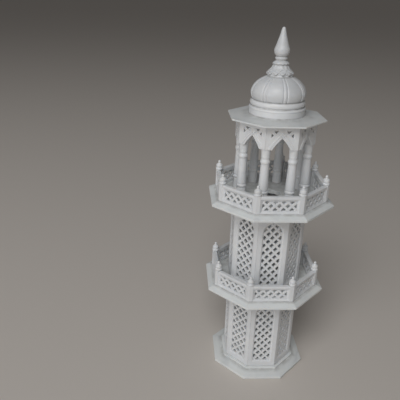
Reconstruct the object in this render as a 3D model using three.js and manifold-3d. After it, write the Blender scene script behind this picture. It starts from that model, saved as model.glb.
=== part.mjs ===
import * as THREE from 'three';
import { mergeGeometries, mergeVertices } from 'three/addons/utils/BufferGeometryUtils.js';
import Module from 'manifold-3d';

// A marble minaret, 1.5 m tall: two octagonal storeys of pierced lattice panels, each under a
// railed balcony, then an open pavilion of eight columns and arches, a roof slab and a ribbed dome.
// Millimetres, +Z up, origin at the centre of the base's underside, flat sides facing X and Y.

const wasm = await Module();
wasm.setup();

// Driving sizes. Radii of octagons are measured to their corners.
const SIDES = 8;
const TURN = 2 * Math.PI / SIDES;
const HALF = TURN / 2;
const GAP = 0.3;
const CUT_PAST = 5;
const HEIGHT = 1500;
const ROUND = 24;
const FINE = 16;

const BASE_R = 222;
const BASE_UNDER = 4;
const BASE_EDGE = 15;
const BASE_SLOPE_TOP = 24;
const BASE_STEP_R = 176;
const FLOOR_1 = 30;

const SHAFT_R = 163;
const WALL = 14.5;

const SLAB_R = 271.5;
const SLAB_EDGE = 9;
const SLAB_THICK = 21;
const SLAB_FOOT_R = 245;
const SLAB_1 = 412.5;
const SLAB_2 = 811.5;
const FLOOR_HOLE_R = 45;

const RAIL_R = 241;
const RAIL_THICK = 19;
const RAIL_HEIGHT = 72;
const POST_WIDTH = 16;
const POST_PROUD = 1.5;
const POST_DEPTH = RAIL_THICK + POST_PROUD;
const KNOB_RING_R = 227.5;
const KNOB_HEIGHT = 41;

// Lattice sizes: spacing of holes in a row and of like rows, and a hole's width.
const LATTICE = { across: 33, up: 36, hole: 21 };
const LOWER_ROW = 193.5;
const UPPER_ROW = 619;
const OPENING = { half: 37.5, aboveFoot: 32, belowTop: 49.5, springBelowTop: 106.5, bulge: 0 };
const RAIL_LATTICE = { across: 32.5, up: 32.5, hole: 19.5 };
const RAIL_OPENING = { half: 67, low: 12, high: 53 };
const WHOLE_HOLE = 0.9;
const PART_HOLE = 0.45;

const COLUMN_R = 141;
const COLUMN_FOOT = SLAB_2 + SLAB_THICK;
const ARCH_R = 165;
const ARCH_WALL = 26;
const ARCH = { spring: 1068, apex: 1114, half: 35.5, top: 1161, bulge: 11 };
const ARCH_SHOULDER = 0.55;
const ARCH_STEPS = 6;
const MERGE = 1e-4;

const ROOF_R = 201;
const ROOF_EDGE = 6;
const DRUM_FOOT = 1175;

const marble = (shade) => new THREE.MeshStandardMaterial({ color: shade, roughness: 0.42, metalness: 0 });
const WHITE = 0xe4e5e6;
const PALE = 0xdcdedf;

const minaret = new THREE.Group();

// Adds a named piece, turned by whole sides about the axis.
function piece(name, geometry, side = 0, shade = WHITE) {
  const mesh = new THREE.Mesh(geometry, marble(shade));
  mesh.name = name;
  mesh.rotation.z = side * TURN;
  minaret.add(mesh);
}

// A profile of [radius, height] pairs turned about Z. Eight sides give the octagon.
function turned(profile, sides = SIDES) {
  const points = profile.map(([r, z]) => new THREE.Vector2(r, z));
  const geometry = new THREE.LatheGeometry(points, sides, Math.PI / sides);
  return geometry.rotateX(Math.PI / 2);
}

// A flat plate standing in the XZ plane, its outer face at the given distance towards -Y.
function upright(outline, thickness, distance) {
  const shape = new THREE.Shape(outline.map(([x, z]) => new THREE.Vector2(x, z)));
  const geometry = new THREE.ExtrudeGeometry(shape, { depth: thickness, bevelEnabled: false });
  return geometry.rotateX(Math.PI / 2).translate(0, thickness - distance, 0);
}

// Moves a plate's end faces on to the mitre planes between two sides of the octagon.
function mitred(geometry, halfWidth) {
  const place = geometry.attributes.position;
  for (let i = 0; i < place.count; i += 1) {
    const x = place.getX(i);
    if (Math.abs(x) > halfWidth - GAP) {
      place.setX(i, Math.sign(x) * (Math.abs(place.getY(i)) * Math.tan(HALF) - GAP / 2));
    }
  }
  return geometry;
}

// The part of a convex polygon that lies inside another convex polygon, both anticlockwise.
function clipped(polygon, window) {
  let rest = polygon;
  window.forEach((a, i) => {
    const b = window[(i + 1) % window.length];
    const side = ([x, z]) => (b[0] - a[0]) * (z - a[1]) - (b[1] - a[1]) * (x - a[0]);
    const kept = [];
    rest.forEach((p, j) => {
      const q = rest[(j + 1) % rest.length];
      const [sp, sq] = [side(p), side(q)];
      if (sp >= 0) kept.push(p);
      if (sp * sq < 0) {
        const t = sp / (sp - sq);
        kept.push([p[0] + (q[0] - p[0]) * t, p[1] + (q[1] - p[1]) * t]);
      }
    });
    rest = kept;
  });
  return rest;
}

function area(polygon) {
  return polygon.reduce((sum, [x, z], i) => {
    const [u, w] = polygon[(i + 1) % polygon.length];
    return sum + (x * w - u * z) / 2;
  }, 0);
}

// The diamond holes between two sets of crossing diagonal bars, inside a convex window.
function diamonds(lattice, window, centre, least) {
  const tall = lattice.hole * lattice.up / lattice.across / 2;
  const wide = lattice.hole / 2;
  const whole = 2 * wide * tall;
  const xs = window.map((p) => p[0]);
  const zs = window.map((p) => p[1]);
  const columns = Math.ceil((Math.max(...xs) - centre[0]) / lattice.across * 2);
  const rowsUp = Math.ceil((Math.max(...zs) - centre[1]) / lattice.up * 2);
  const rowsDown = Math.ceil((centre[1] - Math.min(...zs)) / lattice.up * 2);
  const holes = [];
  for (let row = -rowsDown; row <= rowsUp; row += 1) {
    for (let column = -columns; column <= columns; column += 1) {
      if ((row + column) % 2 !== 0) continue;
      const x = centre[0] + column * lattice.across / 2;
      const z = centre[1] + row * lattice.up / 2;
      const hole = clipped([[x + wide, z], [x, z + tall], [x - wide, z], [x, z - tall]], window);
      if (hole.length > 2 && area(hole) > least * whole) holes.push(hole);
    }
  }
  return holes;
}

// Half of a pointed arch from its spring to its apex, bulging outwards, as [x, z] points.
function archHalf(half, spring, apex, bulge) {
  const curve = new THREE.QuadraticBezierCurve(
    new THREE.Vector2(half, spring),
    new THREE.Vector2(half - bulge, spring + (apex - spring) * ARCH_SHOULDER),
    new THREE.Vector2(0, apex),
  );
  return curve.getPoints(ARCH_STEPS).map((p) => [p.x, p.y]);
}

function mirroredArch(right) {
  const left = right.slice(0, -1).reverse().map(([x, z]) => [-x, z]);
  return [...right, ...left];
}

function solid(geometry) {
  const bare = geometry.clone();
  bare.deleteAttribute('normal');
  bare.deleteAttribute('uv');
  const merged = mergeVertices(bare, MERGE);
  const index = merged.index.array;
  const flat = [];
  for (let i = 0; i < index.length; i += 3) {
    const [a, b, c] = [index[i], index[i + 1], index[i + 2]];
    if (a !== b && b !== c && c !== a) flat.push(a, b, c);
  }
  return new wasm.Manifold(new wasm.Mesh({
    numProp: 3,
    vertProperties: merged.attributes.position.array,
    triVerts: new Uint32Array(flat),
  }));
}

function surface(body) {
  const mesh = body.getMesh();
  const geometry = new THREE.BufferGeometry();
  geometry.setAttribute('position', new THREE.BufferAttribute(mesh.vertProperties, 3));
  geometry.setIndex(new THREE.BufferAttribute(mesh.triVerts, 1));
  return geometry;
}

// Cuts straight holes through an upright plate.
function pierced(plate, holes, thickness, distance) {
  const cutters = holes.map((hole) => upright(hole, thickness + 2 * CUT_PAST, distance + CUT_PAST));
  return solid(plate).subtract(solid(mergeGeometries(cutters)));
}

// Base slab: lower corner taken off, thin upright edge, gentle slope, small step under the shaft.
piece('base_plinth', turned([
  [0, 0],
  [BASE_R - BASE_UNDER, 0],
  [BASE_R, BASE_UNDER],
  [BASE_R, BASE_EDGE],
  [BASE_STEP_R, BASE_SLOPE_TOP],
  [BASE_STEP_R, FLOOR_1],
  [0, FLOOR_1],
]), 0, PALE);

// One storey of the shaft: eight upright panels with a pointed field of diamond holes.
function storey(name, foot, top, centreRow) {
  const apothem = SHAFT_R * Math.cos(HALF);
  const half = SHAFT_R * Math.sin(HALF);
  const low = foot + OPENING.aboveFoot;
  const spring = top - OPENING.springBelowTop;
  const apex = top - OPENING.belowTop;
  const head = mirroredArch(archHalf(OPENING.half, spring, apex, OPENING.bulge));
  const field = [[-OPENING.half, low], [OPENING.half, low], ...head];
  const holes = diamonds(LATTICE, field, [0, centreRow], WHOLE_HOLE);
  const outline = [[-half, foot], [half, foot], [half, top], [-half, top]];
  const plate = mitred(upright(outline, WALL, apothem), half);
  const panel = surface(pierced(plate, holes, WALL, apothem));
  for (let side = 0; side < SIDES; side += 1) piece(`${name}_${side + 1}`, panel, side);
}

storey('lower_jali', FLOOR_1, SLAB_1, LOWER_ROW);

// Balcony slab: upright edge, slope up to the railing's foot, flat walk inside.
function slab(bottom) {
  const top = bottom + SLAB_THICK;
  return turned([
    [0, bottom],
    [SLAB_R, bottom],
    [SLAB_R, bottom + SLAB_EDGE],
    [SLAB_FOOT_R, top],
    [0, top],
  ]);
}

// A slab with a round hole on the axis.
function holed(plate, radius, bottom) {
  const low = bottom - CUT_PAST;
  const high = bottom + SLAB_THICK + CUT_PAST;
  const plug = turned([[0, low], [radius, low], [radius, high], [0, high]], ROUND);
  return surface(solid(plate).subtract(solid(plug)));
}

// Turned knob on a railing post: collar, bulb, neck and small ball.
function knob(x, y, foot) {
  const profile = [
    [0, -POST_PROUD],
    [9.8, -POST_PROUD],
    [13, 0.3],
    [14.5, 4.5],
    [10.4, 9.7],
    [12.6, 15.5],
    [12.5, 20.5],
    [8, 26.5],
    [4.5, 30],
    [5.2, 35],
    [0, KNOB_HEIGHT],
  ];
  return turned(profile.map(([r, z]) => [r, z + foot])).translate(x, y, 0);
}

// One bay of a railing: a pierced panel, and the corner post with its knob at the left end.
function bay(slabBottom) {
  const foot = slabBottom + SLAB_THICK;
  const top = foot + RAIL_HEIGHT;
  const apothem = RAIL_R * Math.cos(HALF);
  const half = RAIL_R * Math.sin(HALF);
  const low = foot + RAIL_OPENING.low;
  const high = foot + RAIL_OPENING.high;
  const open = [
    [-RAIL_OPENING.half, low],
    [RAIL_OPENING.half, low],
    [RAIL_OPENING.half, high],
    [-RAIL_OPENING.half, high],
  ];
  const holes = diamonds(RAIL_LATTICE, open, [0, (low + high) / 2], PART_HOLE);
  const right = half - POST_WIDTH - GAP;
  const left = -half + POST_WIDTH / 2;
  const outline = [[left, foot], [right, foot], [right, top], [left, top]];
  const panel = pierced(upright(outline, RAIL_THICK, apothem), holes, RAIL_THICK, apothem);

  const corner = new THREE.Vector2(0, -RAIL_R - POST_PROUD).rotateAround(new THREE.Vector2(), -HALF);
  const inner = corner.clone().multiplyScalar(1 - POST_DEPTH / (apothem + POST_PROUD));
  const along = new THREE.Vector2(POST_WIDTH, 0);
  const back = new THREE.Vector2(0, POST_DEPTH);
  const other = along.clone().negate().rotateAround(new THREE.Vector2(), -TURN);
  const inwards = back.clone().rotateAround(new THREE.Vector2(), -TURN);
  const plan = new THREE.Shape([
    corner,
    corner.clone().add(along),
    corner.clone().add(along).add(back),
    inner,
    corner.clone().add(other).add(inwards),
    corner.clone().add(other),
  ]);
  const post = new THREE.ExtrudeGeometry(plan, { depth: RAIL_HEIGHT + POST_PROUD, bevelEnabled: false });
  post.translate(0, 0, foot);
  const centre = corner.clone().setLength(KNOB_RING_R);
  const topKnob = knob(centre.x, centre.y, top + POST_PROUD);
  return surface(panel.add(solid(post)).add(solid(topKnob)));
}

function balcony(name, bottom, plate) {
  piece(`${name}_balcony_slab`, plate, 0, PALE);
  const railing = bay(bottom);
  for (let side = 0; side < SIDES; side += 1) piece(`${name}_railing_${side + 1}`, railing, side);
}

balcony('lower', SLAB_1, slab(SLAB_1));
storey('upper_jali', SLAB_1 + SLAB_THICK, SLAB_2, UPPER_ROW);
balcony('upper', SLAB_2, holed(slab(SLAB_2), FLOOR_HOLE_R, SLAB_2));

// Columns stand at the octagon's corners and end under the arches' feet.
const columnProfile = [
  [0, COLUMN_FOOT],
  [18.5, COLUMN_FOOT],
  [18.5, 868],
  [16.8, 875],
  [19.3, 884],
  [19.3, 890],
  [18, 893],
  [16, 1006],
  [19, 1012],
  [19, 1019],
  [16, 1025],
  [17.5, 1036],
  [19, ARCH.spring],
  [0, ARCH.spring],
];
const column = turned(columnProfile).translate(0, -COLUMN_R, 0).rotateZ(-HALF);

// Arch plate over one bay: mitred ends, pointed arch, two three-cornered holes in each spandrel.
const archApothem = ARCH_R * Math.cos(HALF);
const archWide = ARCH_R * Math.sin(HALF);
const soffit = mirroredArch(archHalf(ARCH.half, ARCH.spring, ARCH.apex, ARCH.bulge));
const archOutline = [
  [-archWide, ARCH.spring],
  ...soffit.slice().reverse(),
  [archWide, ARCH.spring],
  [archWide, ARCH.top],
  [-archWide, ARCH.top],
];
const spandrel = [
  [[13, 1142], [24, 1130.5], [35, 1142]],
  [[32, 1124], [43, 1113.5], [43, 1134.5]],
];
const mirror = (polygon) => polygon.map(([x, z]) => [-x, z]).reverse();
const archHoles = [...spandrel, ...spandrel.map(mirror)];
const archPlate = mitred(upright(archOutline, ARCH_WALL, archApothem), archWide);
const arch = surface(pierced(archPlate, archHoles, ARCH_WALL, archApothem));
for (let side = 0; side < SIDES; side += 1) piece(`column_${side + 1}`, column, side);
for (let side = 0; side < SIDES; side += 1) piece(`arch_${side + 1}`, arch, side);

// Roof slab, drum, ribbed dome, lotus and finial stand on one another along the axis.
piece('roof_slab', turned([
  [0, ARCH.top],
  [ROOF_R, ARCH.top],
  [ROOF_R, ARCH.top + ROOF_EDGE],
  [112, DRUM_FOOT],
  [0, DRUM_FOOT],
]), 0, PALE);

piece('dome_drum', turned([
  [0, DRUM_FOOT],
  [110.5, DRUM_FOOT],
  [111, 1203],
  [103.5, 1209.5],
  [107, 1214],
  [108.5, 1221],
  [102.5, 1233],
  [0, 1233],
], ROUND));

piece('dome', turned([
  [0, 1233],
  [100, 1233],
  [105.3, 1241.5],
  [108.6, 1256],
  [107, 1268.5],
  [98.2, 1287],
  [79.5, 1305],
  [50, 1321],
  [0, 1321],
], ROUND));

piece('lotus_collar', turned([
  [0, 1321],
  [51, 1321],
  [54.5, 1332],
  [50.2, 1338.5],
  [41.5, 1346],
  [34, 1355],
  [31.2, 1363],
  [32.2, 1368],
  [20.5, 1378],
  [20.5, 1380],
  [0, 1380],
], FINE));

piece('finial', turned([
  [0, 1380],
  [20.5, 1380],
  [23.6, 1388],
  [20, 1394],
  [25.5, 1400],
  [29.4, 1408],
  [29.9, 1416],
  [26, 1430],
  [21.6, 1443],
  [16, 1461],
  [11, 1478],
  [6.5, 1495],
  [3.6, 1499],
  [0, HEIGHT],
], FINE));

export default minaret;
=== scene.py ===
import math

import bmesh
import bpy
from mathutils import Matrix, Vector
from mathutils.geometry import interpolate_bezier


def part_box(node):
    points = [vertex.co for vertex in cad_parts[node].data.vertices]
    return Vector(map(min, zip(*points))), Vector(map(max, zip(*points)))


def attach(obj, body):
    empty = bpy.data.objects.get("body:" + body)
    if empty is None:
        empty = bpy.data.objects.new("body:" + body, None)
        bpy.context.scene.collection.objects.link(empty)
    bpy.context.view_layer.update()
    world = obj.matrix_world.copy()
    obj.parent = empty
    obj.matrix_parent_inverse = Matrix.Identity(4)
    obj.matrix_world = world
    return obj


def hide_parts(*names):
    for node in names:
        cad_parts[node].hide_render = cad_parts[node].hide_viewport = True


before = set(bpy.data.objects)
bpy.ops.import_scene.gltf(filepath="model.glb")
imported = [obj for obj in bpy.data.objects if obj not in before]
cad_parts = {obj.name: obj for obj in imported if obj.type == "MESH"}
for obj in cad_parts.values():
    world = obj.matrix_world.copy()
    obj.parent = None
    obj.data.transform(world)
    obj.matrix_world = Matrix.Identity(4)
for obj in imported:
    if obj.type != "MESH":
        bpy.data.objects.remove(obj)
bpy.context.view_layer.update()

# Base slab: one thick octagon of white marble that the whole minaret stands on. Its lower corner is
# taken off, its edge is sawn upright, the top is dressed to a gentle slope, and a low step carries
# the foot of the shaft.
SIDES = 8
TURN = 2 * math.pi / SIDES
TO_CORNER = 1 / math.cos(TURN / 2)
TINY = 1e-6
BASE_UNDER = 0.004
BASE_EDGE = 0.015
BASE_SLOPE_TOP = 0.024
BASE_STEP_REACH = 0.1626
ARRIS = 0.0012
CRISP = math.radians(12)
LEAST_TURN = math.radians(25)


class Socket:
    """A shader socket. Sums, differences and products of sockets add Math nodes."""

    def __init__(self, tree, output=None):
        self.tree = tree
        self.output = output

    def node(self, kind, settings, sockets, output=0):
        """Adds a node. Its settings come first, then the values or links of its sockets."""
        made = self.tree.nodes.new(kind)
        for name, value in settings.items():
            setattr(made, name, value)
        for name, value in sockets.items():
            if isinstance(value, Socket):
                self.tree.links.new(value.output, made.inputs[name])
            else:
                made.inputs[name].default_value = value
        return Socket(self.tree, made.outputs[output])

    def math(self, operation, first, second=0.0):
        return self.node("ShaderNodeMath", {"operation": operation}, {0: first, 1: second})

    def __add__(self, other):
        return self.math("ADD", self, other)

    def __radd__(self, other):
        return self.math("ADD", other, self)

    def __sub__(self, other):
        return self.math("SUBTRACT", self, other)

    def __rsub__(self, other):
        return self.math("SUBTRACT", other, self)

    def __mul__(self, other):
        return self.math("MULTIPLY", self, other)

    def __rmul__(self, other):
        return self.math("MULTIPLY", other, self)

    def __abs__(self):
        return self.math("ABSOLUTE", self)

    def clear(self, low, high):
        """0 below low, 1 above high and a smooth change between."""
        return self.node(
            "ShaderNodeMapRange",
            {"interpolation_type": "SMOOTHSTEP"},
            {"Value": self, "From Min": low, "From Max": high},
        )

    def noise(self, scale, detail, output="Fac"):
        """Smooth noise over these coordinates, with some number of features a metre."""
        return self.node(
            "ShaderNodeTexNoise", {}, {"Vector": self, "Scale": scale, "Detail": detail}, output
        )

    def tint(self, mask, other):
        """This colour where the mask is 0 and the other where it is 1."""
        return self.node(
            "ShaderNodeMix", {"data_type": "RGBA"}, {"Factor": mask, 6: self, 7: other}, 2
        )


# What the stone is like. Scales are in features a metre, lengths in metres.
SWIRL_SCALE = 3.1
SWIRL_REACH = (0.22, 0.22, 0.3)
CLOUD_SCALE = 5.5
CLOUD_RANGE = (0.36, 0.68)
VEIN_SCALE = 2.6
VEIN_HALF = 0.03
VEIN_GREY = (0.52, 0.54, 0.56, 1)
FLECK_SCALE = 70
FLECK_RANGE = (0.56, 0.8)
FLECK_SHARE = 0.1
FLECK_DULL = 0.06
DRESSED_SCALE = 110
DRESSED_DULL = 0.1
SUGAR_SCALE = 900
SUGAR_HEIGHT = 0.3
GRAIN_DEPTH = 0.0006
# Darkening at the joints: dust, and painted shade where parts meet and at the floor.
JOINT_DUST_AND_SHADE = (0.34, 0.33, 0.31, 1)
JOINT_PATCH_SCALE = 38
JOINT_PATCH_RANGE = (0.1, 0.75)
JOINT_DARK_NEAR = 0.0008
JOINT_DARK_FAR = 0.005
JOINT_DUST_AND_SHADE_SHARE = 0.55
GREYER_STEP = 0.0005
GLOW = 0.3
GLOW_RADIUS = (1.0, 0.9, 0.8)
GLOW_DEPTH = 0.006


def marble(name, light, shade, roughness, veins, grain, joints, greyer_from=0, greyer=0):
    """White marble: cloudy patches, faint grey veins, sugary grain and dressing marks.

    The joints, given by their heights, are darkened in patches: dust, and painted shade where parts
    meet and at the floor. Above some height the colour is tinted greyer: greyer stone, and painted
    shade on the upper pieces."""
    material = bpy.data.materials.new(name)
    material.use_nodes = True
    tree = material.node_tree
    shader = tree.nodes["Principled BSDF"]
    place = Socket(tree).node("ShaderNodeTexCoord", {}, {}, "Object")
    height = place.node("ShaderNodeSeparateXYZ", {}, {"Vector": place}, "Z")
    swirl = place.noise(SWIRL_SCALE, 3, "Color")
    bent = place.node(
        "ShaderNodeVectorMath",
        {"operation": "MULTIPLY_ADD"},
        {0: swirl, 1: SWIRL_REACH, 2: place},
    )
    clouds = bent.noise(CLOUD_SCALE, 5).clear(*CLOUD_RANGE)
    vein = (1 - abs(bent.noise(VEIN_SCALE, 4) - 0.5).clear(0.0, VEIN_HALF)) * clouds
    fleck = place.noise(FLECK_SCALE, 4).clear(*FLECK_RANGE)
    dressed = place.noise(DRESSED_SCALE, 3)
    sugar = place.noise(SUGAR_SCALE, 2)
    # Painted shade and dust at the joints: a darker band at each joint height, broken into patches.
    joint_dust_and_shade = 0.0
    for joint in joints:
        joint_dust_and_shade = joint_dust_and_shade + (1 - abs(height - joint).clear(JOINT_DARK_NEAR, JOINT_DARK_FAR))
    patchy_dust_and_shade = joint_dust_and_shade * place.noise(JOINT_PATCH_SCALE, 4).clear(*JOINT_PATCH_RANGE)
    colour = place.node(
        "ShaderNodeMix", {"data_type": "RGBA"}, {"Factor": clouds, 6: light, 7: shade}, 2
    )
    colour = colour.tint(vein * veins, VEIN_GREY)
    colour = colour.tint(fleck * FLECK_SHARE, VEIN_GREY)
    # Greyer stone and painted shade: above some height the colour is tinted greyer, darkening the
    # upper pieces.
    if greyer:
        colour = colour.tint((height - greyer_from).clear(0, GREYER_STEP) * greyer, VEIN_GREY)
    colour = colour.tint(patchy_dust_and_shade * JOINT_DUST_AND_SHADE_SHARE, JOINT_DUST_AND_SHADE)
    tree.links.new(colour.output, shader.inputs["Base Color"])
    gloss = roughness + DRESSED_DULL * dressed + FLECK_DULL * fleck
    tree.links.new(gloss.output, shader.inputs["Roughness"])
    relief = dressed + SUGAR_HEIGHT * sugar
    bump = place.node(
        "ShaderNodeBump", {}, {"Strength": grain, "Distance": GRAIN_DEPTH, "Height": relief}
    )
    tree.links.new(bump.output, shader.inputs["Normal"])
    shader.inputs["Subsurface Weight"].default_value = GLOW
    shader.inputs["Subsurface Radius"].default_value = GLOW_RADIUS
    shader.inputs["Subsurface Scale"].default_value = GLOW_DEPTH
    return material


slab_marble = marble(
    "honed slab marble",
    light=(0.83, 0.85, 0.845, 1),
    shade=(0.77, 0.795, 0.795, 1),
    roughness=0.4,
    veins=0.35,
    grain=0.35,
    # Joint heights, the floor among them, darkened with dust and painted shade.
    joints=(0.0, 0.024, 0.4335, 0.8325, 1.175),
    # Roof slab upwards tinted greyer: greyer stone, and painted shade.
    greyer_from=1.155,
    greyer=0.22,
)


def spun(profile, steps):
    """A shape from a profile of (radius, height) pairs spun about the tower's axis."""
    bm = bmesh.new()
    line = [bm.verts.new((r * math.cos(TURN / 2), r * math.sin(TURN / 2), z)) for r, z in profile]
    edges = [bm.edges.new(pair) for pair in zip(line, line[1:])]
    bmesh.ops.spin(
        bm,
        geom=line + edges,
        cent=(0, 0, 0),
        axis=(0, 0, 1),
        angle=2 * math.pi,
        steps=steps,
        use_merge=True,
    )
    bmesh.ops.remove_doubles(bm, verts=bm.verts, dist=TINY)
    bmesh.ops.recalc_face_normals(bm, faces=bm.faces)
    return bm


def rounded(bm, edges, width, segments=2):
    """Rounds some edges off."""
    bmesh.ops.bevel(
        bm,
        geom=edges,
        offset=width,
        offset_type="OFFSET",
        segments=segments,
        profile=0.5,
        affect="EDGES",
        clamp_overlap=True,
        material=-1,
    )


def eased(bm, width, least=LEAST_TURN):
    """Takes the sharpness off every edge that turns more than the least angle."""
    rounded(bm, [e for e in bm.edges if e.is_manifold and e.calc_face_angle() > least], width)
    return bm


def placed(bm, name, material, node, crisp=CRISP):
    """Makes a finished piece of a mesh: smooth but for its crisp edges, standing for a node."""
    mesh = bpy.data.meshes.new(name)
    bm.to_mesh(mesh)
    bm.free()
    mesh.shade_smooth()
    mesh.set_sharp_from_angle(angle=crisp)
    made = bpy.data.objects.new(name, mesh)
    bpy.context.scene.collection.objects.link(made)
    mesh.materials.append(material)
    made.modifiers.new("even_faces", "WEIGHTED_NORMAL").keep_sharp = True
    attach(made, "root")
    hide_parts(node)
    return made


HOLE_STEPS = 48


def octagon(profile, hole=0.0):
    """An eight-sided slab from (inner radius, height) pairs up its outside, with a round hole."""
    bm = spun([(r * TO_CORNER, z) for r, z in profile], SIDES)
    for z in (profile[0][1], profile[-1][1]):
        if hole:
            level = Matrix.Translation((0, 0, z))
            bmesh.ops.create_circle(bm, segments=HOLE_STEPS, radius=hole, matrix=level)
        rim = [
            e
            for e in bm.edges
            if len(e.link_faces) < 2 and all(abs(v.co.z - z) < TINY for v in e.verts)
        ]
        bmesh.ops.triangle_fill(bm, edges=rim, use_beauty=True, normal=(0, 0, 1))
    if hole:
        bmesh.ops.bridge_loops(bm, edges=[e for e in bm.edges if e.is_boundary])
    bmesh.ops.recalc_face_normals(bm, faces=bm.faces)
    return bm


base_low, base_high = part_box("base_plinth")
base = octagon([
    (base_high.x - BASE_UNDER, base_low.z),
    (base_high.x, base_low.z + BASE_UNDER),
    (base_high.x, base_low.z + BASE_EDGE),
    (BASE_STEP_REACH, base_low.z + BASE_SLOPE_TOP),
    (BASE_STEP_REACH, base_high.z),
])
placed(eased(base, ARRIS), "base_slab", slab_marble, "base_plinth")


# Shaft storeys: eight marble panels a storey, mitred at the corners. Each has a pointed field sunk
# behind a sloped border and sawn through into a lattice of diagonal bars with rounded arrises.
WALL = 0.0145
BORDER = 0.0063
BORDER_DEPTH = 0.0045
FIELD_HALF = 0.0375
FIELD_FOOT = 0.032
FIELD_SPRING = 0.1065
FIELD_APEX = 0.0545
APEX_BORDERS = 1.1
HEAD_POINTS = 8
HEAD_LOW = 0.26
HEAD_HIGH = 0.74
PANEL_ARRIS = 0.0008
PANEL_LEAST_TURN = math.radians(20)
BAR_ARRIS = 0.0013
BAR_LEAST_TURN = math.radians(60)
LATTICE_ACROSS = 0.033
LATTICE_UP = 0.036
LATTICE_HOLE = 0.635
BED = 0.002
LOWER_ROW = 0.1935
UPPER_ROW = 0.619


def pointed(half, foot, spring, apex, waist=1.0, crown=1.0):
    """A field with a pointed head, anticlockwise from its lower left, as (across, up) pairs.

    Waist and crown say how wide the head still is, as shares of the field, low and high in it."""
    rise = apex - spring
    right = interpolate_bezier(
        Vector((half, spring)),
        Vector((half * waist, spring + HEAD_LOW * rise)),
        Vector((half * crown, spring + HEAD_HIGH * rise)),
        Vector((0, apex)),
        HEAD_POINTS,
    )
    left = [Vector((-p.x, p.y)) for p in reversed(right[:-1])]
    return [Vector((-half, foot)), Vector((half, foot)), *right, *left]


def turned(bm, angle, axis="Z"):
    """Turns a whole mesh about one of the axes through the origin."""
    bmesh.ops.rotate(bm, verts=bm.verts, cent=(0, 0, 0), matrix=Matrix.Rotation(angle, 3, axis))


def moved(bm, vec):
    """Moves a whole mesh."""
    bmesh.ops.translate(bm, verts=bm.verts, vec=vec)


def open_edges(bm, y):
    """The edges at one depth that still lack a face on one side or both."""
    return [
        e
        for e in bm.edges
        if len(e.link_faces) < 2 and all(abs(v.co.y - y) < TINY for v in e.verts)
    ]


def deepened(bm, edges, depth):
    """Runs walls back from some edges and returns the vertices at the back."""
    made = bmesh.ops.extrude_edge_only(bm, edges=edges)["geom"]
    verts = [v for v in made if isinstance(v, bmesh.types.BMVert)]
    bmesh.ops.translate(bm, verts=verts, vec=(0, depth, 0))
    return verts


def plate(outline, fields, face, thick):
    """An upright plate facing -Y, its ends mitred to the next sides of the octagon.

    Each field is an outline and the (width, rise) steps of the border that leads to its opening.
    Returns the mesh and the outline of each opening at the end of its border."""
    bm = bmesh.new()
    windows = []
    for field, steps in fields:
        sunk = bm.faces.new([bm.verts.new((x, face, z)) for x, z in field])
        sunk.normal_update()
        for width, rise in steps:
            bmesh.ops.inset_individual(
                bm, faces=[sunk], thickness=width, depth=rise, use_even_offset=True
            )
        windows.append([v.co.copy() for v in sunk.verts])
        rim = list(sunk.edges)
        bmesh.ops.delete(bm, geom=[sunk], context="FACES_ONLY")
        deepened(bm, rim, face + thick - windows[-1][0].y)
    rim = [bm.verts.new((x, face, z)) for x, z in outline]
    back = deepened(bm, [bm.edges.new(pair) for pair in zip(rim, rim[1:] + rim[:1])], thick)
    half = max(x for x, z in outline)
    ends = [v for v in back if abs(abs(v.co.x) - half) < TINY]
    bmesh.ops.scale(bm, verts=ends, vec=((face + thick) / face, 1, 1))
    for y in (face, face + thick):
        bmesh.ops.triangle_fill(bm, edges=open_edges(bm, y), use_beauty=True, normal=(0, -1, 0))
    bmesh.ops.recalc_face_normals(bm, faces=bm.faces)
    return bm, windows


def lattice(window, across, up, hole, centre, face, thick, arris):
    """Crossing diagonal bars that fill a window and run a little into its edges."""
    reach = max(max(abs(p.x), abs(p.z - centre)) for p in window)
    cells = 2 * math.ceil(reach / min(across, up)) + 3
    bm = bmesh.new()
    bmesh.ops.create_grid(bm, x_segments=cells, y_segments=cells, size=cells / 2)
    bmesh.ops.inset_individual(
        bm, faces=bm.faces, thickness=(1 - hole) / 2, use_even_offset=True
    )
    middles = [f for f in bm.faces if abs(f.calc_area() - hole * hole) < TINY]
    bmesh.ops.delete(bm, geom=middles, context="FACES_ONLY")
    turned(bm, math.pi / 4)
    bmesh.ops.scale(bm, verts=bm.verts, vec=(across / math.sqrt(2), up / math.sqrt(2), 1))
    turned(bm, math.pi / 2, "X")
    moved(bm, (0, face, centre))
    middle = sum(window, Vector()) / len(window)
    for a, b in zip(window, window[1:] + window[:1]):
        out = (b - a).cross(Vector((0, 1, 0))).normalized()
        if out.dot(a - middle) < 0:
            out.negate()
        bmesh.ops.bisect_plane(
            bm,
            geom=list(bm.verts) + list(bm.edges) + list(bm.faces),
            plane_co=a + out * BED,
            plane_no=out,
            clear_outer=True,
        )
    made = bmesh.ops.extrude_face_region(bm, geom=list(bm.faces), use_keep_orig=True)["geom"]
    back = [v for v in made if isinstance(v, bmesh.types.BMVert)]
    bmesh.ops.translate(bm, verts=back, vec=(0, thick, 0))
    bmesh.ops.recalc_face_normals(bm, faces=bm.faces)
    return eased(bm, arris, BAR_LEAST_TURN)


def joined(first, second):
    """Adds the second mesh to the first."""
    mesh = bpy.data.meshes.new("joining")
    second.to_mesh(mesh)
    second.free()
    first.from_mesh(mesh)
    bpy.data.meshes.remove(mesh)
    return first


def all_round(bm, name, material, node, crisp=CRISP):
    """Places a piece on each of the eight sides, standing for that side's node."""
    for side in range(SIDES):
        copy = bm.copy()
        turned(copy, side * TURN)
        placed(copy, f"{name}_{side + 1}", material, f"{node}_{side + 1}", crisp)
    bm.free()


carved_marble = marble(
    "carved marble",
    light=(0.8, 0.81, 0.82, 1),
    shade=(0.74, 0.755, 0.77, 1),
    roughness=0.42,
    veins=0.25,
    grain=0.45,
    # Joint heights darkened with dust and painted shade.
    joints=(0.03, 0.4125, 0.4335, 0.8115, 0.8325, 1.161),
)


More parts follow.
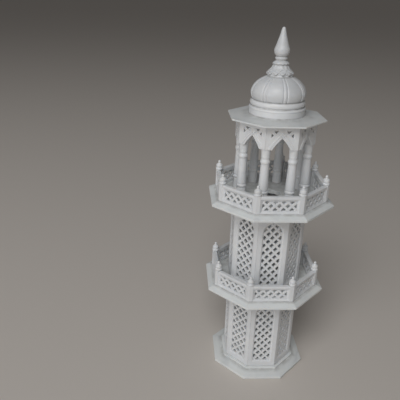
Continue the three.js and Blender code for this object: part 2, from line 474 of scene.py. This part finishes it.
def storey(name, node, row):
    """The eight lattice panels of a storey. Row is the height of a row of diamond holes."""
    low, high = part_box(f"{node}_1")
    half = high.x
    field = pointed(
        FIELD_HALF + BORDER,
        low.z + FIELD_FOOT - BORDER,
        high.z - FIELD_SPRING,
        high.z - FIELD_APEX + APEX_BORDERS * BORDER,
    )
    outline = [(-half, low.z), (half, low.z), (half, high.z), (-half, high.z)]
    panel, windows = plate(outline, [(field, [(BORDER, -BORDER_DEPTH)])], low.y, WALL)
    eased(panel, PANEL_ARRIS, PANEL_LEAST_TURN)
    bars = lattice(
        windows[0], LATTICE_ACROSS, LATTICE_UP, LATTICE_HOLE, row,
        low.y + BORDER_DEPTH, WALL - BORDER_DEPTH, BAR_ARRIS,
    )
    all_round(joined(panel, bars), name, carved_marble, node)


storey("lower_lattice_panel", "lower_jali", LOWER_ROW)
storey("upper_lattice_panel", "upper_jali", UPPER_ROW)


# Balcony slabs: one octagon of marble on top of each storey, overhanging it. The edge is upright
# and the top is dressed to a slope up to the railing. The upper one has a round hole inside.
SLAB_EDGE = 0.009
RAILING_FOOT = 0.226
FLOOR_HOLE = 0.045

for node, hole in (("lower_balcony_slab", 0), ("upper_balcony_slab", FLOOR_HOLE)):
    low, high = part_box(node)
    profile = [(high.x, low.z), (high.x, low.z + SLAB_EDGE), (RAILING_FOOT, high.z)]
    balcony = eased(octagon(profile, hole), ARRIS)
    placed(balcony, f"{node}_dressed", slab_marble, node)


# Railings: a pierced marble panel on each side of a balcony, its lattice sunk behind a deep sloped
# border under a rounded top rail. Corner posts hold the panels and carry turned knobs.
RAIL_CORNER = 0.241
RAIL_HEIGHT = 0.072
RAIL_THICK = 0.019
RAIL_BORDER = 0.0085
RAIL_BORDER_DEPTH = 0.006
RAIL_HALF = 0.067
RAIL_LOW = 0.012
RAIL_HIGH = 0.053
RAIL_PITCH = 0.0325
RAIL_HOLE = 0.6
RAIL_BARS = 0.0085
RAIL_ROUND = 0.004
RAIL_ROUND_STEPS = 4
RAIL_BAR_ARRIS = 0.0012
RAIL_TENON = 0.001
POST_ARRIS = 0.001
POST_WIDTH = 0.016
POST_PROUD = 0.0015
KNOB_RING = 0.2275
KNOB_STEPS = 28
POST_CRISP = math.radians(35)
KNOB = [
    (0, -0.0015),
    (0.0098, -0.0015),
    (0.0098, -0.0015),
    (0.0134, -0.0002),
    (0.0152, 0.0020),
    (0.0155, 0.0050),
    (0.0145, 0.0079),
    (0.0120, 0.0097),
    (0.0120, 0.0097),
    (0.0134, 0.0124),
    (0.0139, 0.0166),
    (0.0133, 0.0212),
    (0.0107, 0.0248),
    (0.0068, 0.0276),
    (0.0048, 0.0296),
    (0.0047, 0.0310),
    (0.0058, 0.0338),
    (0.0056, 0.0369),
    (0.0030, 0.0401),
    (0, 0.0412),
]


def flowing(profile, steps=5):
    """A smooth line through the points of a profile. A point given twice stays a crisp corner."""
    points = [Vector(p) for p in profile]
    line = [points[0]]
    for i, (a, b) in enumerate(zip(points, points[1:])):
        if (b - a).length > TINY:
            before = points[max(i - 1, 0)]
            after = points[min(i + 2, len(points) - 1)]
            line += interpolate_bezier(a, a + (b - before) / 6, b - (after - a) / 6, b, steps)[1:]
    return line


def post(height, thick, reach):
    """A corner post with an arm along each side, its outer corner on the -Y axis."""
    bm = bmesh.new()
    along = Vector((math.cos(TURN / 2), math.sin(TURN / 2), 0))
    inward = Vector((-along.y, along.x, 0))
    corner = Vector((0, -reach, 0))
    arm = corner + along * POST_WIDTH
    right = [arm, arm + inward * thick]
    left = [Vector((-p.x, p.y, 0)) for p in reversed(right)]
    inner = corner + Vector((0, thick * TO_CORNER, 0))
    plan = bm.faces.new([bm.verts.new(p) for p in (corner, *right, inner, *left)])
    made = bmesh.ops.extrude_face_region(bm, geom=[plan], use_keep_orig=True)["geom"]
    top = [v for v in made if isinstance(v, bmesh.types.BMVert)]
    bmesh.ops.translate(bm, verts=top, vec=(0, 0, height))
    bmesh.ops.recalc_face_normals(bm, faces=bm.faces)
    eased(bm, POST_ARRIS)
    knob = spun(flowing(KNOB), KNOB_STEPS)
    moved(knob, (0, -KNOB_RING, height))
    return joined(bm, knob)


def railing(node):
    """The eight pierced panels and corner posts of a balcony."""
    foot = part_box(f"{node}_1")[0].z
    face = -RAIL_CORNER / TO_CORNER
    half = -face * math.tan(TURN / 2) - POST_WIDTH + RAIL_TENON
    wide = RAIL_HALF + RAIL_BORDER
    low = foot + RAIL_LOW - RAIL_BORDER
    high = foot + RAIL_HIGH + RAIL_BORDER
    top = foot + RAIL_HEIGHT
    field = [(-wide, low), (wide, low), (wide, high), (-wide, high)]
    outline = [(-half, foot), (half, foot), (half, top), (-half, top)]
    panel, windows = plate(outline, [(field, [(RAIL_BORDER, -RAIL_BORDER_DEPTH)])], face, RAIL_THICK)
    crest = [
        e
        for e in panel.edges
        if all(abs(v.co.z - top) < TINY for v in e.verts)
        and abs(e.verts[0].co.y - e.verts[1].co.y) < TINY
    ]
    rounded(panel, crest, RAIL_ROUND, RAIL_ROUND_STEPS)
    eased(panel, PANEL_ARRIS)
    bars = lattice(
        windows[0], RAIL_PITCH, RAIL_PITCH, RAIL_HOLE, foot + (RAIL_LOW + RAIL_HIGH) / 2,
        face + RAIL_BORDER_DEPTH, RAIL_BARS, RAIL_BAR_ARRIS,
    )
    all_round(joined(panel, bars), f"{node}_panel", carved_marble, node)
    corner = post(RAIL_HEIGHT + POST_PROUD, RAIL_THICK + POST_PROUD, RAIL_CORNER + POST_PROUD)
    moved(corner, (0, 0, foot))
    turned(corner, -TURN / 2)
    all_round(corner, f"{node}_post", carved_marble, node, POST_CRISP)


railing("lower_railing")
railing("upper_railing")


# Columns: eight marble columns turned on a lathe stand at the corners of the upper floor. Each has
# a plain foot, a ring between two grooves, a tapering shaft, a bead near the top and a flared head.
COLUMN_STEPS = 40
LATHE_CRISP = math.radians(40)
COLUMN_RING = 0.141
COLUMN = [
    (0, 0),
    (0.0194, 0),
    (0.0194, 0),
    (0.0197, 0.0040),
    (0.0197, 0.0420),
    (0.0192, 0.0455),
    (0.0185, 0.0480),
    (0.0185, 0.0508),
    (0.0185, 0.0508),
    (0.0196, 0.0525),
    (0.0210, 0.0550),
    (0.0213, 0.0580),
    (0.0209, 0.0610),
    (0.0184, 0.0632),
    (0.0184, 0.0632),
    (0.0176, 0.0650),
    (0.0182, 0.0672),
    (0.0197, 0.0682),
    (0.0197, 0.0682),
    (0.0195, 0.0760),
    (0.0182, 0.1200),
    (0.0164, 0.1740),
    (0.0164, 0.1740),
    (0.0176, 0.1760),
    (0.0190, 0.1800),
    (0.0192, 0.1850),
    (0.0175, 0.1905),
    (0.0175, 0.1905),
    (0.0159, 0.1930),
    (0.0165, 0.1990),
    (0.0176, 0.2030),
    (0.0176, 0.2030),
    (0.0171, 0.2048),
    (0.0176, 0.2150),
    (0.0190, 0.2300),
    (0.0190, 0.2300),
    (0.0192, 0.2355),
    (0.0192, 0.2355),
    (0, 0.2355),
]
turned_marble = marble(
    "turned marble",
    light=(0.81, 0.82, 0.83, 1),
    shade=(0.75, 0.765, 0.78, 1),
    roughness=0.34,
    veins=0.25,
    grain=0.3,
    # Joint heights darkened with dust and painted shade.
    joints=(0.8325, 1.175, 1.2095, 1.233, 1.321, 1.363, 1.38, 1.394),
    # Dome, lotus and finial tinted greyer: greyer stone, and painted shade.
    greyer_from=1.232,
    greyer=0.32,
)
low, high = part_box("column_1")
column = spun([(r, low.z + z) for r, z in flowing(COLUMN)], COLUMN_STEPS)
moved(column, (0, -COLUMN_RING, 0))
turned(column, -TURN / 2)
all_round(column, "turned_column", turned_marble, "column", LATHE_CRISP)


# Arches: eight mitred marble plates on the columns. Each has a pointed arch with a double roll
# moulding along it, and two three-cornered holes sawn through each shoulder.
ARCH_WALL = 0.026
MOULDING = [
    (0.0008, 0.0014),
    (0.0062, 0.0),
    (0.0008, -0.0016),
    (0.0008, 0.0016),
    (0.0060, 0.0),
    (0.0012, -0.0012),
]
MOULDING_WIDTH = sum(width for width, rise in MOULDING)
ARCH_HALF = 0.0355
ARCH_WAIST = 0.93
ARCH_CROWN = 0.4
ARCH_ARRIS = 0.0006
HOLE_CHAMFER = (0.0008, -0.0008)
MOULDING_APEX = 0.0668
SHOULDER_HOLES = [
    [(0.013, 0.074), (0.024, 0.0625), (0.035, 0.074)],
    [(0.032, 0.056), (0.043, 0.0455), (0.043, 0.0665)],
]
low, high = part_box("arch_1")
foot, half = low.z, high.x
below = foot - 2 * MOULDING_WIDTH
doorway = pointed(
    ARCH_HALF + MOULDING_WIDTH, below, foot, foot + MOULDING_APEX, ARCH_WAIST, ARCH_CROWN
)
fields = [(doorway, MOULDING)]
for hole in SHOULDER_HOLES:
    for sign in (1, -1):
        corners = [(sign * x, foot + z) for x, z in hole]
        fields.append((corners[::sign], [HOLE_CHAMFER]))
below -= MOULDING_WIDTH
outline = [(-half, below), (half, below), (half, high.z), (-half, high.z)]
arch, windows = plate(outline, fields, low.y, ARCH_WALL)
bmesh.ops.bisect_plane(
    arch,
    geom=list(arch.verts) + list(arch.edges) + list(arch.faces),
    plane_co=(0, 0, foot),
    plane_no=(0, 0, -1),
    clear_outer=True,
)
bmesh.ops.holes_fill(arch, edges=[e for e in arch.edges if e.is_boundary], sides=0)
bmesh.ops.recalc_face_normals(arch, faces=arch.faces)
eased(arch, ARCH_ARRIS, PANEL_LEAST_TURN)
all_round(arch, "arch_plate", carved_marble, "arch")


# Roof slab: an octagon of marble on the arches, thin at its edge and dressed to a slight slope up
# to the drum of the dome.
ROOF_EDGE = 0.006
ROOF_INNER = 0.1035
low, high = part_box("roof_slab")
roof = octagon([(high.x, low.z), (high.x, low.z + ROOF_EDGE), (ROOF_INNER, high.z)])
placed(eased(roof, ARRIS), "roof_slab_dressed", slab_marble, "roof_slab")


# Drum: the round marble drum that stands on the roof slab and carries the dome. It is turned from
# one block, with a groove and a bead at its top.
ROUND_STEPS = 96
DRUM = [
    (0, 0),
    (0.1098, 0),
    (0.1098, 0),
    (0.1104, 0.0020),
    (0.1100, 0.0218),
    (0.1100, 0.0218),
    (0.1113, 0.0238),
    (0.1113, 0.0278),
    (0.1085, 0.0316),
    (0.1035, 0.0336),
    (0.1035, 0.0355),
    (0.1062, 0.0378),
    (0.1083, 0.0416),
    (0.1085, 0.0468),
    (0.1066, 0.0528),
    (0.1025, 0.0576),
    (0.1025, 0.0576),
    (0, 0.0580),
]
low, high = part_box("dome_drum")
drum = spun([(r, low.z + z) for r, z in flowing(DRUM)], ROUND_STEPS)
placed(drum, "turned_drum", turned_marble, "dome_drum", LATHE_CRISP)


# Dome: one bulb of marble, turned and then cut with eight ribs near the middles of the tower's
# sides. Each is a rounded ridge between two grooves that draw in towards the lotus.
RIB_STEPS = 320
RIB_HALF = math.radians(3.2)
GROOVE_AT = math.radians(3.9)
GROOVE_HALF = math.radians(2.0)
RIB_PROUD = 0.0012
GROOVE_DEEP = 0.0032
DOME_REACH = 0.1082
DOME_TURN = math.radians(4.4)
DOME_CRISP = math.radians(50)
DOME = [
    (0, 0),
    (0.1000, 0),
    (0.1000, 0),
    (0.1048, 0.0080),
    (DOME_REACH, 0.0225),
    (0.1067, 0.0350),
    (0.0978, 0.0535),
    (0.0795, 0.0718),
    (0.0500, 0.0880),
    (0.0500, 0.0880),
    (0, 0.0880),
]


def hill(distance, half):
    """A smooth hill, 1 in the middle and 0 from half a width away."""
    return 0.5 + 0.5 * math.cos(math.pi * min(abs(distance) / half, 1))


def ribbed(angle, radius):
    """How far the dome's surface stands out at an angle, where the dome has some radius."""
    away = abs((angle - DOME_TURN + TURN / 2) % TURN - TURN / 2) * math.sqrt(radius / DOME_REACH)
    return RIB_PROUD * hill(away, RIB_HALF) - GROOVE_DEEP * hill(away - GROOVE_AT, GROOVE_HALF)


low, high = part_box("dome")
dome = spun([(r, low.z + z) for r, z in flowing(DOME, steps=7)], RIB_STEPS)
for v in dome.verts:
    radius = v.co.to_2d().length
    if radius > DOME[-2][0] / 2 and v.co.z > low.z + TINY:
        grown = 1 + ribbed(math.atan2(v.co.y, v.co.x), radius) / radius
        v.co.x *= grown
        v.co.y *= grown
dome.normal_update()
placed(dome, "ribbed_dome", turned_marble, "dome", DOME_CRISP)


# Lotus collar: an upturned lotus carved from one marble block crowns the dome. Three rings of
# twelve pointed petals hang over one another, the middle ring turned by half a petal.
PETALS = 12
PETAL_FACES = 24
PETAL_ROUND = 0.0007
PETAL_POINT = 1.4
PETAL_EDGE = 0.0012
ROUND_FROM = 0.04
ROUND_TO = 0.05
LOTUS_CRISP = math.radians(60)
LOTUS = [
    (0, 0),
    (0.0508, 0),
    (0.0508, 0),
    (0.0521, 0.0030),
    (0.0532, 0.0070),
    (0.0545, 0.0108),
    (0.0537, 0.0140),
    (0.0503, 0.0178),
    (0.0461, 0.0212),
    (0.0417, 0.0250),
    (0.0377, 0.0290),
    (0.0346, 0.0330),
    (0.0324, 0.0370),
    (0.0315, 0.0400),
    (0.0312, 0.0420),
    (0.0319, 0.0446),
    (0.0323, 0.0474),
    (0.0307, 0.0505),
    (0.0258, 0.0541),
    (0.0217, 0.0568),
    (0.0205, 0.0590),
    (0.0205, 0.0590),
    (0, 0.0590),
]
LOTUS_TOP = 0.0206
# For each ring of petals: its turn in petals, the heights of the tips and of the notches between
# them, how deep the stone is cut below the petals, and the height where that cut has run out.
PETAL_RINGS = (
    (0.0, 0.0065, 0.0160, 0.0052, -0.0010),
    (0.5, 0.0190, 0.0275, 0.0030, 0.0105),
    (0.0, 0.0432, 0.0480, 0.0026, 0.0385),
)


def eased_step(value, low, high):
    """0 below low, 1 above high and a smooth change between."""
    t = min(max((value - low) / (high - low), 0), 1)
    return t * t * (3 - 2 * t)


low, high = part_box("lotus_collar")
lotus = spun([(r, low.z + z) for r, z in flowing(LOTUS, steps=6)], PETALS * PETAL_FACES)
for v in lotus.verts:
    radius = v.co.to_2d().length
    up = v.co.z - low.z
    if radius > LOTUS_TOP:
        turn = math.atan2(v.co.y, v.co.x) / TURN * PETALS / SIDES
        cut = PETAL_ROUND * (1 - math.cos(2 * math.pi * turn))
        cut *= 1 - eased_step(up, ROUND_FROM, ROUND_TO)
        for offset, tip, notch, deep, end in PETAL_RINGS:
            aside = abs((turn + offset) % 1 - 0.5) * 2
            edge = notch + (tip - notch) * aside ** PETAL_POINT
            cut += deep * eased_step(edge - up, 0, PETAL_EDGE) * eased_step(up, end, tip)
        grown = (radius - cut) / radius
        v.co.x *= grown
        v.co.y *= grown
lotus.normal_update()
placed(lotus, "carved_lotus", turned_marble, "lotus_collar", LOTUS_CRISP)


# Finial: a marble spire turned in one piece: a ring and a neck on the lotus, then a bud that runs
# out to a long point with a blunt tip.
FINIAL_STEPS = 64
FINIAL = [
    (0, 0),
    (0.0205, 0),
    (0.0205, 0),
    (0.0206, 0.0018),
    (0.0228, 0.0046),
    (0.0236, 0.0082),
    (0.0222, 0.0118),
    (0.0199, 0.0138),
    (0.0199, 0.0138),
    (0.0222, 0.0160),
    (0.0252, 0.0198),
    (0.0278, 0.0240),
    (0.0293, 0.0285),
    (0.0299, 0.0335),
    (0.0298, 0.0385),
    (0.0290, 0.0424),
    (0.0274, 0.0462),
    (0.0257, 0.0502),
    (0.0239, 0.0552),
    (0.0216, 0.0630),
    (0.0188, 0.0718),
    (0.0160, 0.0808),
    (0.0136, 0.0880),
    (0.0110, 0.0980),
    (0.0086, 0.1080),
    (0.0064, 0.1150),
    (0.0036, 0.1190),
    (0, 0.120),
]
low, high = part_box("finial")
finial = spun([(r, low.z + z) for r, z in flowing(FINIAL)], FINIAL_STEPS)
placed(finial, "turned_finial", turned_marble, "finial", LATHE_CRISP)


# Stage: a pale floor, soft studio light from the front left, and a camera 1.6 m up that looks down
# at the minaret from the photograph's angle.
CAMERA_PLACE = Vector((-0.2940, -1.9252, 1.6131))
CAMERA_DOWN = math.radians(23.17)
CAMERA_ROLL = math.radians(1.707)
OBJECT_TURN = math.radians(3.0)
LENS = 43.92
SENSOR = 36.0
FLOOR_REACH = 600
FLOOR_STEPS = 64
FLOOR_GAP = 0.0005
FLOOR_COLOUR = (0.7, 0.65, 0.6, 1)
FLOOR_ROUGH = 0.7
LIGHT_AWAY = 12
LIGHT_WIDE = 6.5
LIGHT_AIM = 0.8
SKY_COLOUR = (0.86, 0.84, 0.82, 1)
SKY_STRENGTH = 0.115

camera_data = bpy.data.cameras.new("camera")
camera_data.lens = LENS
camera_data.sensor_width = SENSOR
camera = bpy.data.objects.new("camera", camera_data)
bpy.context.scene.collection.objects.link(camera)
camera.matrix_world = (
    Matrix.Rotation(-OBJECT_TURN, 4, "Z")
    @ Matrix.Translation(CAMERA_PLACE)
    @ Matrix.Rotation(math.pi / 2 - CAMERA_DOWN, 4, "X")
    @ Matrix.Rotation(CAMERA_ROLL, 4, "Z")
)
bpy.context.scene.camera = camera

floor_mesh = bpy.data.meshes.new("floor")
bm = bmesh.new()
bmesh.ops.create_circle(
    bm,
    cap_ends=True,
    segments=FLOOR_STEPS,
    radius=FLOOR_REACH,
    matrix=Matrix.Translation((0, 0, -FLOOR_GAP)),
)
bm.to_mesh(floor_mesh)
bm.free()
floor = bpy.data.objects.new("floor", floor_mesh)
bpy.context.scene.collection.objects.link(floor)
floor_finish = bpy.data.materials.new("floor")
floor_finish.use_nodes = True
floor_shader = floor_finish.node_tree.nodes["Principled BSDF"]
floor_shader.inputs["Base Color"].default_value = FLOOR_COLOUR
floor_shader.inputs["Roughness"].default_value = FLOOR_ROUGH
floor_mesh.materials.append(floor_finish)


def softbox(name, around, up, power, colour):
    """A round soft light aimed at the middle of the minaret from the left of its front."""
    lamp = bpy.data.lights.new(name, "AREA")
    lamp.shape = "DISK"
    lamp.size = LIGHT_WIDE
    lamp.energy = power
    lamp.color = colour
    made = bpy.data.objects.new(name, lamp)
    made.matrix_world = (
        Matrix.Translation((0, 0, LIGHT_AIM))
        @ Matrix.Rotation(-math.radians(around), 4, "Z")
        @ Matrix.Rotation(math.pi / 2 - math.radians(up), 4, "X")
        @ Matrix.Translation((0, 0, LIGHT_AWAY))
    )
    made.visible_camera = False
    bpy.context.scene.collection.objects.link(made)


softbox("key", 45, 12, 275, (0.99, 0.99, 1))
softbox("sky", 20, 45, 617, (0.99, 0.995, 1))

world = bpy.data.worlds.new("studio")
world.use_nodes = True
sky = world.node_tree.nodes["Background"]
sky.inputs["Color"].default_value = SKY_COLOUR
sky.inputs["Strength"].default_value = SKY_STRENGTH
bpy.context.scene.world = world
bpy.context.scene.view_settings.view_transform = "Standard"
